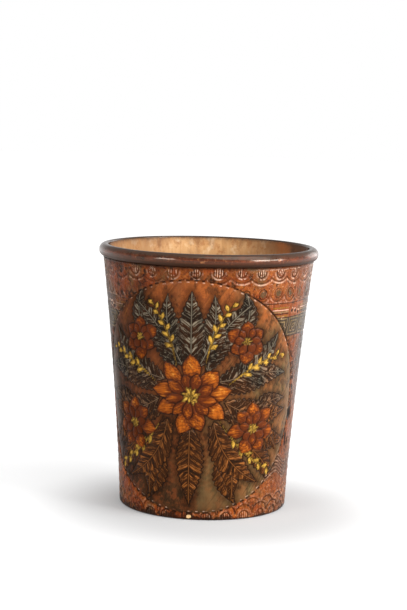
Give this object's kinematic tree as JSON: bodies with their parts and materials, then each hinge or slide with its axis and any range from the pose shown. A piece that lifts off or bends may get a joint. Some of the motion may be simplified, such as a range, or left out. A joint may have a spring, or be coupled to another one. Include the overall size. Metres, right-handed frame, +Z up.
{
  "type": "wooden beaker",
  "caption": "Tapered round turned-wood beaker with a bead ring round its mouth, a let-in round bottom and a tooled, burnt and stained wall.",
  "frame": {"origin": "centre of the foot, in the plane that the beaker stands on", "axes": "+Z up along the turning axis, -Y towards the side with the round panel"},
  "size_m": [0.1006, 0.1006, 0.12],
  "materials": {
    "tooled_wood": "red-brown stained, burnt and stippled, glossy varnish; inside bare",
    "bare_wood": "bare turned wood, worn",
    "dark_lacquered_wood": "dark brown lacquer, glossy, worn on top"
  },
  "bodies": {
    "root": {"wall": "tooled_wood", "base_disc": "bare_wood", "rim_ring": "dark_lacquered_wood"}
  },
  "joints": []
}
